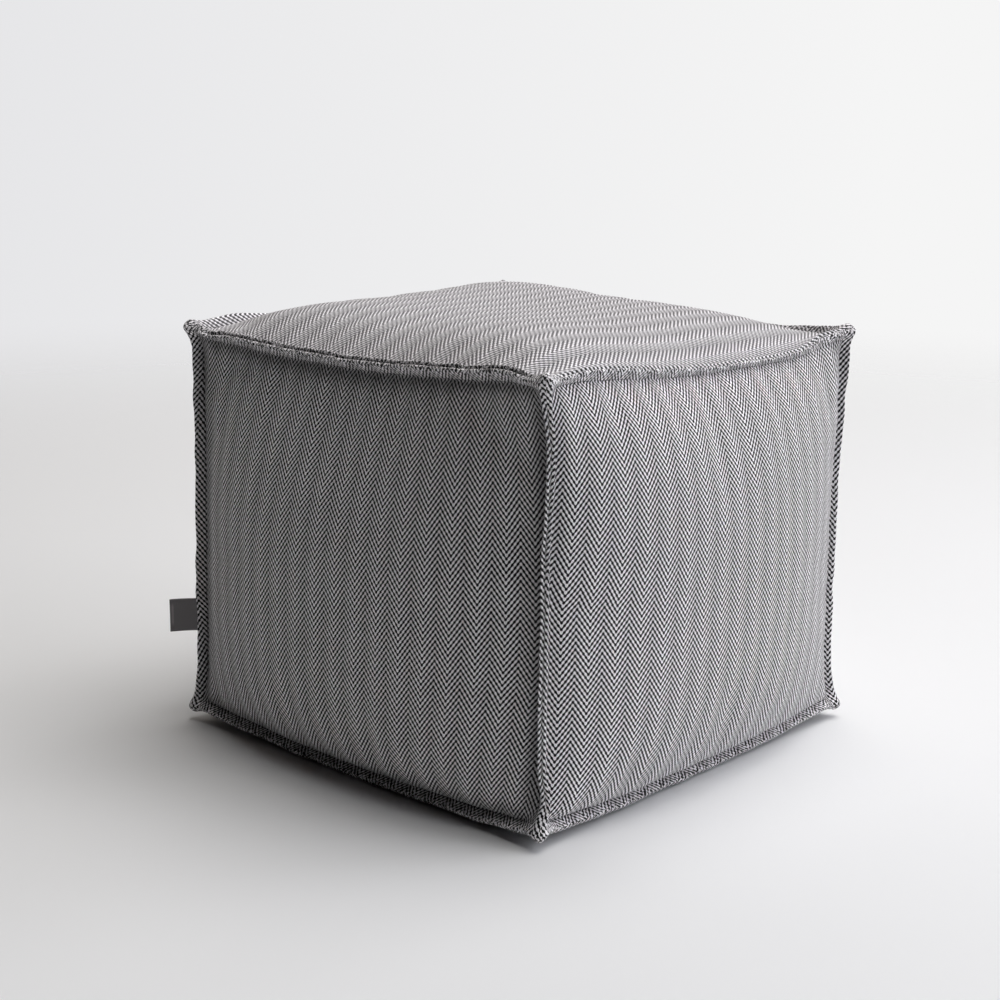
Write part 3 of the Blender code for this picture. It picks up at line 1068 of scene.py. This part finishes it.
@dataclass
class RibbonTab:
    """A short ribbon, folded once, with both ends sewn into the far left seam.

    Its two layers lie close together and part a little at the fold, which stands out of the
    seam; its face is left plain but for a paler line near the fold.
    """

    plan: SewingPlan
    seam: Key = (-1, -1, 0)
    width: float = 34.0 * MM
    proud: float = 28.0 * MM
    seat: float = 7.5 * MM
    middle: float = 113.0 * MM  # above the floor
    thick: float = 0.5 * MM
    loop: float = 1.0 * MM  # radius of the fold, to the ribbon's middle
    closed: float = 0.45  # how far the layers lie apart in the seam, as a share of the fold
    swing: float = 4.0 * MM
    curl: float = 0.4 * MM  # of the edges, at the fold
    sag: float = 0.5 * MM  # of the fold
    steps: int = 40
    rows: int = 12

    def path(self) -> np.ndarray:
        """The ribbon's middle line, edge-on.

        Returns:
            Points out along one layer and back along the other.
        """
        fold = self.proud - self.loop
        run = np.linspace(-self.seat, fold, self.steps // 2)
        turn = np.linspace(0.5, -0.5, self.steps // 2) * math.pi
        # The layers close up from the fold to the seam.
        spread = self.closed + (1 - self.closed) * smooth_step(run / fold)
        out = np.stack([run, self.loop * spread], axis=1)
        round_end = np.stack([fold + self.loop * np.cos(turn), self.loop * np.sin(turn)], axis=1)
        line = np.concatenate([out[:-1], round_end, (out * (1, -1))[-2::-1]])
        line[:, 1] += self.swing * (np.maximum(line[:, 0], 0) / self.proud) ** 2
        return line

    def flat_length(self) -> float:
        """The ribbon's length before it is folded."""
        return float(np.linalg.norm(np.diff(self.path(), axis=0), axis=1).sum())

    def place(self) -> tuple[np.ndarray, np.ndarray, np.ndarray]:
        """How the ribbon stands in its seam.

        Returns:
            Where it leaves the seam, and its directions out of it and across.
        """
        plan = self.plan
        along = np.array(2 * (self.middle - plan.lift) / plan.height - 1)
        offset = plan.flange_offset(self.seam, along)
        rim = plan.root(self.seam, along) + offset
        outward = np.array([offset[0], offset[1], 0.0])
        outward /= np.linalg.norm(outward)
        return np.array([rim[0], rim[1], self.middle]), outward, np.cross((0, 0, 1), outward)

    def mesh(self) -> Mesh:
        """One sheet along the folded path, given its thickness.

        Returns:
            The mesh, with flat ribbon coordinates in metres.
        """
        line = self.path()
        origin, outward, across = self.place()
        steps = np.linalg.norm(np.diff(line, axis=0), axis=1)
        along = np.concatenate([[0], np.cumsum(steps)])
        bm = bmesh.new()
        layer = bm.loops.layers.uv.new(UV_NAME)
        coordinates = {}
        grid = []
        for (x, y), length in zip(line, along):
            column = []
            for row in range(self.rows + 1):
                up = (row / self.rows - 0.5) * self.width
                # The free end sags and its edges curl a hair.
                lean = x / self.proud
                curl = self.curl * (2 * up / self.width) ** 2 * max(lean, 0)
                point = origin + outward * x + across * (y + curl)
                vert = bm.verts.new((point[0], point[1], point[2] + up - self.sag * lean))
                coordinates[vert] = (length, up)
                column.append(vert)
            grid.append(column)
        for left, right in zip(grid, grid[1:]):
            for low in range(self.rows):
                bm.faces.new((left[low], right[low], right[low + 1], left[low + 1]))
        for face in bm.faces:
            for loop in face.loops:
                loop[layer].uv = coordinates[loop.vert]
        bmesh.ops.recalc_face_normals(bm, faces=bm.faces)
        mesh = bpy.data.meshes.new("tab")
        bm.to_mesh(mesh)
        bm.free()
        mesh.shade_smooth()
        return mesh

    def build(self, finish: "SatinRibbon", rests_on: Object) -> Object:
        """Makes the tab, dresses it and puts it on its body.

        Args:
            finish: the ribbon.
            rests_on: what it is sewn into; not used.

        Returns:
            The piece.
        """
        piece = new_piece("Ribbon_tab_woven", self.mesh())
        piece.data.materials.append(finish.material(self.flat_length() / 2))
        solid = piece.modifiers.new("Thickness", "SOLIDIFY")
        solid.thickness = self.thick
        solid.offset = 0
        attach(piece, BODY)
        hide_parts("Ribbon_tab")
        self.flat_length()
        return piece


# Finishes ------------------------------------------------------------------------------------


@dataclass
class Shading:
    """A material in the making: each method adds a node to it."""

    name: str
    constants: dict[str, object]
    material: Material = field(init=False)

    def __post_init__(self) -> None:
        """Makes the material and sets what is constant on its shader."""
        self.material = bpy.data.materials.new(self.name)
        self.material.use_nodes = True
        for name, value in self.constants.items():
            self.shader.inputs[name].default_value = value

    @property
    def tree(self) -> NodeTree:
        """The material's node tree."""
        return self.material.node_tree

    @property
    def shader(self) -> Node:
        """The material's Principled shader."""
        return self.tree.nodes["Principled BSDF"]

    def output(
        self, kind: str, links: dict[int | str, object] | None = None, **settings: object
    ) -> NodeSocket:
        """The first output of a new node, which is given as to add_node."""
        return output(self.tree, kind, links, **settings)

    def maths(self, operation: str, *values: object) -> NodeSocket:
        """A Math node's result, from sockets and numbers."""
        return self.output("ShaderNodeMath", dict(enumerate(values)), operation=operation)

    def vectors(self, operation: str, links: dict[int, object]) -> NodeSocket:
        """A Vector Math node's result, a vector."""
        return self.output("ShaderNodeVectorMath", links, operation=operation)

    def soft_step(self, value: NodeSocket, low: float, high: float) -> NodeSocket:
        """A soft change from 0 at one value to 1 at the other."""
        links = {0: value, 1: low, 2: high}
        return self.output("ShaderNodeMapRange", links, interpolation_type="SMOOTHSTEP")

    def mixed(self, share: object, low: object, high: object) -> NodeSocket:
        """Two colours mixed by a share."""
        links = {0: share, 6: low, 7: high}
        return add_node(self.tree, "ShaderNodeMix", links, data_type="RGBA").outputs[2]

    def noise(
        self, place: NodeSocket, scale: float, detail: float, roughness: float = 0.5
    ) -> Node:
        """A noise over flat cloth, with its scale in features to a metre."""
        links = {"Vector": place, "Scale": scale, "Detail": detail, "Roughness": roughness}
        return add_node(self.tree, "ShaderNodeTexNoise", links, noise_dimensions="2D")

    def attribute(self, name: str) -> NodeSocket:
        """One of the piece's own attributes."""
        return add_node(self.tree, "ShaderNodeAttribute", attribute_name=name).outputs["Fac"]

    def hump(self, place: NodeSocket, centre: float, half: float) -> NodeSocket:
        """A round rise that is 1 at the centre and 0 from half away on.

        Args:
            place: where the rise is looked up.
            centre: its middle.
            half: half its width.

        Returns:
            Its height.
        """
        off = self.maths("DIVIDE", self.maths("SUBTRACT", place, centre), half)
        room = self.maths("SUBTRACT", 1.0, self.maths("MULTIPLY", off, off))
        return self.maths("SQRT", self.maths("MAXIMUM", room, 0.0))

    def colour(self, colour: NodeSocket) -> None:
        """Gives the shader its colour."""
        self.tree.links.new(colour, self.shader.inputs["Base Color"])

    def relief(self, height: NodeSocket, strength: float, distance: float) -> None:
        """Raises the surface by a height, for the light."""
        links = {"Strength": strength, "Distance": distance, "Height": height}
        self.tree.links.new(self.output("ShaderNodeBump", links), self.shader.inputs["Normal"])


@dataclass(frozen=True)
class HerringboneTwill:
    """Cotton-mix upholstery twill, off-white warp over black weft, woven in a pointed 2/2 twill.

    Long off-white floats on a black ground give crisp zigzag lines, with a painted glint at their
    turns, and a matt, slightly hairy surface that greys where it is seen edge-on, a grey that is
    also painted in on the top panel as paler weft and a slightly darker warp.
    """

    warp: str = "#faf7fa"
    weft: str = "#100e10"
    # Painted sheen: the top panel's colours, with the grey veil it shows edge-on painted in.
    sheen_painted_warp: str = "#e9e6e9"
    sheen_painted_weft: str = "#6c6a6d"
    repeat: float = 27.0 * MM  # one full zigzag, across
    ends: int = 10  # bundles of warp threads in a repeat, with one in each valley and ridge
    line: float = 6.0 * MM  # from one zigzag line to the next
    climb: float = 3.6 * MM  # rise of a line from one bundle to the next
    slant: float = 0.6  # share of the climb that happens within a bundle
    float_half: float = 0.27  # half the length of a warp float, in lines
    weft_half: float = 0.24  # half the length of a weft float, in lines
    weft_high: float = 0.6  # height of a weft float, as a share of the warp's
    bundle_half: float = 0.64  # half a bundle's width, in bundles
    pale_from: float = 0.12  # height at which a warp float begins to show
    pale_at: float = 0.52  # height from which it shows fully
    painted_valley_glint: float = 1.19  # painted highlight in a valley, where the floats are longest
    painted_glint_fall: float = 0.34  # how much less it is on a ridge
    wander: float = 1.6 * MM  # how far the threads stray
    wander_scale: float = 9.0  # features to a metre, as all the scales here
    crumple: float = 7.0 * MM  # how far a roll across the weave displaces it
    crumple_scale: float = 330.0
    fibre_scale: float = 1400.0
    fibre_shade: float = 0.34  # how much the fibres change the cloth's tone
    slub_scale: float = 260.0
    slub_shade: float = 0.40
    plain_shade: float = 0.63
    low_shade: float = 0.60  # painted shade: tone of the deepest thread
    high_shade: float = 0.50  # what the highest adds to that
    fuzz: float = 0.35  # height of the fibres, as a share of the warp's
    relief: float = 0.5 * MM

    def laid(self, made: Shading, cloth: NodeSocket) -> NodeSocket:
        """Flat cloth coordinates with the threads' wander, and their crumple on the flanges.

        Args:
            made: the material.
            cloth: the even coordinates.

        Returns:
            The coordinates that the weave takes.
        """
        middle = (0.5, 0.5, 0.0)
        drift = made.noise(cloth, self.wander_scale, 2.0).outputs["Color"]
        stray = made.vectors("SUBTRACT", {0: drift, 1: middle})
        bent = made.vectors("MULTIPLY_ADD", {0: stray, 1: (self.wander,) * 3, 2: cloth})
        fold = made.noise(cloth, self.crumple_scale, 1.0).outputs["Color"]
        aside = made.vectors("SUBTRACT", {0: fold, 1: middle})
        amount = made.maths("MULTIPLY", made.attribute(CRUMPLED), self.crumple)
        aside = made.vectors("SCALE", {0: aside, 3: amount})
        return made.vectors("ADD", {0: bent, 1: aside})

    def material(self) -> Material:
        """The cloth as a material.

        Returns:
            The material, which reads the panels' flat cloth coordinates.
        """
        made = Shading(
            "Herringbone twill, woven cotton",
            {
                "Roughness": 0.88,
                "Specular IOR Level": 0.25,
                "Sheen Weight": 0.25,
                "Sheen Roughness": 0.5,
            },
        )
        maths = made.maths
        cloth = made.output("ShaderNodeUVMap", uv_map=UV_NAME)
        bent = self.laid(made, cloth)
        across, along = add_node(made.tree, "ShaderNodeSeparateXYZ", {0: bent}).outputs[:2]

        half_repeat = self.ends / 2
        end = maths("DIVIDE", across, self.repeat / self.ends)
        number = maths("FLOOR", maths("ADD", end, 0.5))
        stepped = maths("PINGPONG", number, half_repeat)
        even = maths("PINGPONG", end, half_repeat)
        slanted = maths("MULTIPLY", even, self.slant)
        rise = maths("MULTIPLY_ADD", stepped, 1 - self.slant, slanted)
        up = maths("DIVIDE", along, self.line)
        turn = maths("FRACT", maths("MULTIPLY_ADD", rise, -self.climb / self.line, up))
        bundle = made.hump(maths("SUBTRACT", end, number), 0.0, self.bundle_half)
        warp_high = maths("MULTIPLY", made.hump(turn, 0.5, self.float_half), bundle)
        under = made.hump(maths("PINGPONG", turn, 0.5), 0.0, self.weft_half)
        height = maths("MAXIMUM", warp_high, maths("MULTIPLY", under, self.weft_high))
        shown = made.soft_step(warp_high, self.pale_from, self.pale_at)
        # Painted glint: lighter in each valley of the zigzag, darker on each ridge.
        painted_glint = maths("MULTIPLY_ADD", even, -self.painted_glint_fall / half_repeat, self.painted_valley_glint)

        # Uneven threads: fine fibres and thicker slubs at random, with painted shade where they
        # dip under.
        fibre = made.noise(cloth, self.fibre_scale, 3.0, 0.7).outputs["Fac"]
        slub = made.noise(cloth, self.slub_scale, 2.0).outputs["Fac"]
        slubs = maths("MULTIPLY_ADD", slub, self.slub_shade, self.plain_shade)
        shade = maths("MULTIPLY_ADD", fibre, self.fibre_shade, slubs)
        shade = maths("MULTIPLY", shade, painted_glint)
        # Painted shade: the lower a thread lies in the weave, the darker it is.
        depth = maths("MULTIPLY_ADD", height, self.high_shade, self.low_shade)
        tone = maths("MULTIPLY", shade, depth)
        # Painted shade beside the seams: the cloth there is darker, as in the flanges' shadow.
        tone = maths("MULTIPLY", tone, maths("SUBTRACT", 1.0, made.attribute(PAINTED_SEAM_SHADE)))
        # Painted sheen on the top panel: paler weft and a slightly darker warp.
        painted_top_sheen = made.attribute(PAINTED_TOP_SHEEN)
        weft = made.mixed(painted_top_sheen, linear(self.weft), linear(self.sheen_painted_weft))
        warp = made.mixed(painted_top_sheen, linear(self.warp), linear(self.sheen_painted_warp))
        made.colour(made.vectors("SCALE", {0: made.mixed(shown, weft, warp), 3: tone}))
        made.relief(maths("MULTIPLY_ADD", fibre, self.fuzz, height), 1.0, self.relief)
        return made.material


@dataclass(frozen=True)
class SewingThread:
    """Spun polyester thread, near black: matt, so it only deepens the fold that it holds."""

    colour: str = "#1d1b1d"
    fibre_scale: float = 3000.0  # features to a metre
    low_shade: float = 0.6  # tone between the fibres
    high_shade: float = 1.6
    relief: float = 0.1 * MM
    relief_share: float = 0.4  # how much of the relief shows

    def material(self) -> Material:
        """The thread as a material.

        Returns:
            The material, which reads object coordinates.
        """
        made = Shading(
            "Sewing thread, spun polyester", {"Roughness": 0.8, "Specular IOR Level": 0.3}
        )
        place = add_node(made.tree, "ShaderNodeTexCoord").outputs["Object"]
        links = {"Vector": place, "Scale": self.fibre_scale}
        fibre = add_node(made.tree, "ShaderNodeTexNoise", links).outputs["Fac"]
        tone = made.output("ShaderNodeMapRange", {0: fibre, 3: self.low_shade, 4: self.high_shade})
        made.colour(made.vectors("SCALE", {0: linear(self.colour)[:3], 3: tone}))
        made.relief(fibre, self.relief_share, self.relief)
        return made.material


@dataclass(frozen=True)
class SatinRibbon:
    """Polyester satin ribbon, woven dark grey: smooth, with a low soft shine along its threads."""

    colour: str = "#7a7779"
    line_colour: str = "#9a9596"
    line_at: float = 3.2 * MM  # from the fold's outer end
    line_half: float = 1.3 * MM
    line_middle: float = 1.0 * MM  # above the ribbon's middle
    line_reach: float = 12.0 * MM
    line_soft_to: float = 1.15  # where its soft border ends, as a share of its half width
    line_soft_from: float = 0.55
    thread: float = 0.35 * MM
    relief: float = 0.05 * MM
    relief_share: float = 0.25  # how much of the relief shows

    def material(self, middle: float) -> Material:
        """The ribbon as a material.

        Args:
            middle: how far along the ribbon the fold lies.

        Returns:
            The material, which reads the ribbon's own flat coordinates.
        """
        made = Shading(
            "Satin ribbon, woven polyester",
            {"Roughness": 0.5, "Specular IOR Level": 0.35, "Sheen Weight": 0.15},
        )
        maths = made.maths
        ribbon = made.output("ShaderNodeUVMap", uv_map=UV_NAME)
        along, up = add_node(made.tree, "ShaderNodeSeparateXYZ", {0: ribbon}).outputs[:2]

        def band(place: NodeSocket, centre: float, half: float) -> NodeSocket:
            """1 within the band, with soft borders."""
            off = maths("ABSOLUTE", maths("SUBTRACT", place, centre))
            return made.soft_step(off, half * self.line_soft_to, half * self.line_soft_from)

        from_fold = maths("ABSOLUTE", maths("SUBTRACT", along, middle))
        line = maths(
            "MULTIPLY",
            band(from_fold, self.line_at, self.line_half),
            band(up, self.line_middle, self.line_reach),
        )
        made.colour(made.mixed(line, linear(self.colour), linear(self.line_colour)))
        ribs = maths("SINE", maths("MULTIPLY", up, 2 * math.pi / self.thread))
        made.relief(ribs, self.relief_share, self.relief)
        return made.material


# Studio --------------------------------------------------------------------------------------


@dataclass(frozen=True)
class Softbox:
    """A soft rectangular lamp that faces the pouf."""

    name: str
    place: tuple[float, float, float]
    width: float
    height: float
    power: float
    colour: str = "#ffffff"

    def build(self, aim: Vector) -> Object:
        """Hangs the lamp and turns it to the aim.

        Args:
            aim: the point that it faces.

        Returns:
            The lamp.
        """
        light = bpy.data.lights.new(self.name, "AREA")
        light.shape = "RECTANGLE"
        light.size = self.width
        light.size_y = self.height
        light.energy = self.power
        light.color = linear(self.colour)[:3]
        lamp = bpy.data.objects.new(self.name, light)
        lamp.location = self.place
        lamp.rotation_euler = (aim - lamp.location).to_track_quat("-Z", "Y").to_euler()
        bpy.context.scene.collection.objects.link(lamp)
        return lamp


@dataclass(frozen=True)
class View:
    """The camera: its direction round the pouf, and what it looks at."""

    azimuth: float = 42.43
    elevation: float = 13.35
    roll: float = 0.54
    distance: float = 1.876
    aside: float = -0.0187
    height: float = 0.2335
    lens: float = 66.31

    def build(self) -> Object:
        """Makes the camera and gives it to the scene.

        Returns:
            The camera.
        """
        turn, rise = math.radians(self.azimuth), math.radians(self.elevation)
        back = Vector(
            (math.sin(turn) * math.cos(rise), -math.cos(turn) * math.cos(rise), math.sin(rise))
        )
        right = Vector((math.cos(turn), math.sin(turn), 0))
        aim = right * self.aside + Vector((0, 0, self.height))
        data = bpy.data.cameras.new("Camera")
        data.lens = self.lens
        data.sensor_width = 36.0
        camera = bpy.data.objects.new("Camera", data)
        upright = Matrix((right, back.cross(right), back)).transposed()
        rolled = upright @ Matrix.Rotation(math.radians(self.roll), 3, "Z")
        camera.matrix_world = Matrix.Translation(aim + back * self.distance) @ rolled.to_4x4()
        bpy.context.scene.collection.objects.link(camera)
        bpy.context.scene.camera = camera
        return camera


@dataclass(frozen=True)
class Studio:
    """A pale floor that runs out into a pale background, and soft lamps."""

    floor_colour: str = "#eaebec"
    background_left: str = "#e6e6e8"
    background_right: str = "#f5f5f5"
    room: str = "#ffe9d6"
    window_side: tuple[float, float, float] = (0.738, 0.675, 0.0)
    dark_until: float = -0.27  # how far towards the window the background begins to lighten
    light_from: float = 0.20
    reach: float = 12.0
    fade_from: float = 0.9  # distance from the pouf at which the floor begins to fade
    fade_to: float = 3.2
    drop: float = 0.3 * MM
    ambient: float = 0.004
    aim_height: float = 0.2  # of the lamps' aim

    def floor(self) -> Object:
        """Lays the floor, which fades into the background well behind the pouf.

        Returns:
            The floor.
        """
        mesh = bpy.data.meshes.new("floor")
        far, low = self.reach, -self.drop
        corners = [(-far, -far, low), (far, -far, low), (far, far, low), (-far, far, low)]
        mesh.from_pydata(corners, [], [(0, 1, 2, 3)])
        piece = new_piece("Studio_floor", mesh)
        made = Shading(
            "Painted studio floor, matt",
            {
                "Base Color": linear(self.floor_colour),
                "Roughness": 0.7,
                "Specular IOR Level": 0.15,
            },
        )
        tree = made.tree
        place = add_node(tree, "ShaderNodeTexCoord").outputs["Object"]
        away = add_node(tree, "ShaderNodeVectorMath", {0: place}, operation="LENGTH").outputs[1]
        fade = made.soft_step(away, self.fade_from, self.fade_to)
        clear = made.output("ShaderNodeBsdfTransparent")
        mixed = made.output("ShaderNodeMixShader", {0: fade, 1: made.shader.outputs[0], 2: clear})
        tree.links.new(mixed, tree.nodes["Material Output"].inputs["Surface"])
        piece.data.materials.append(made.material)
        return piece

    def world(self) -> None:
        """A pale background, lighter to the right, that lights the pouf only weakly."""
        world = bpy.data.worlds.new("Studio")
        world.use_nodes = True
        tree = world.node_tree
        shown = tree.nodes["Background"]
        direction = add_node(tree, "ShaderNodeTexCoord").outputs["Generated"]
        aside = add_node(
            tree,
            "ShaderNodeVectorMath",
            {0: direction, 1: self.window_side},
            operation="DOT_PRODUCT",
        ).outputs["Value"]
        bounds = {0: aside, 1: self.dark_until, 2: self.light_from}
        share = output(tree, "ShaderNodeMapRange", bounds)
        backdrop = add_node(
            tree,
            "ShaderNodeMix",
            {0: share, 6: linear(self.background_left), 7: linear(self.background_right)},
            data_type="RGBA",
        ).outputs[2]
        tree.links.new(backdrop, shown.inputs["Color"])
        dim = add_node(
            tree,
            "ShaderNodeBackground",
            {"Color": linear(self.room), "Strength": self.ambient},
        )
        seen = add_node(tree, "ShaderNodeLightPath").outputs["Is Camera Ray"]
        mixed = output(
            tree, "ShaderNodeMixShader", {0: seen, 1: dim.outputs[0], 2: shown.outputs[0]}
        )
        tree.links.new(mixed, tree.nodes["World Output"].inputs["Surface"])
        bpy.context.scene.world = world

    def build(self) -> None:
        """Sets up the floor, the background and the lamps."""
        self.floor()
        self.world()
        aim = Vector((0, 0, self.aim_height))
        for lamp in (
            Softbox("Window", (2.6, 2.25, 2.2), 3.6, 2.8, 65, "#f8f9ff"),
            Softbox("Window behind", (1.2, 3.4, 2.6), 3.0, 2.8, 20, "#f8f9ff"),
            Softbox("Window at the right", (3.6, 0.6, 1.8), 2.4, 2.4, 21, "#f8f9ff"),
            Softbox("Ceiling", (0.5, 0.8, 4.0), 3.0, 3.0, 130, "#fffdfb"),
            Softbox("Wall behind", (-2.2, 2.6, 2.4), 3.0, 2.8, 17, "#fffaf5"),
            Softbox("Wall at the left", (-3.4, 0.8, 2.2), 3.0, 2.6, 15, "#fff4ea"),
        ):
            lamp.build(aim)
        bpy.context.scene.view_settings.view_transform = "Standard"


# Assembly ------------------------------------------------------------------------------------


def main() -> None:
    """Builds the pouf and the studio."""
    logging.basicConfig(level=logging.INFO, format="%(name)s: %(message)s")
    View().build()
    Studio().build()
    plan = SewingPlan()
    sewn = Cover(plan)
    cover = sewn.build(Filling(), HerringboneTwill())
    Topstitching(sewn).build(SewingThread())
    log.info("%s: %d faces", cover.name, len(cover.data.polygons))
    tab = RibbonTab(plan).build(SatinRibbon(), rests_on=cover)
    log.info("%s: %d faces", tab.name, len(tab.data.polygons))


if __name__ == "__main__":
    main()
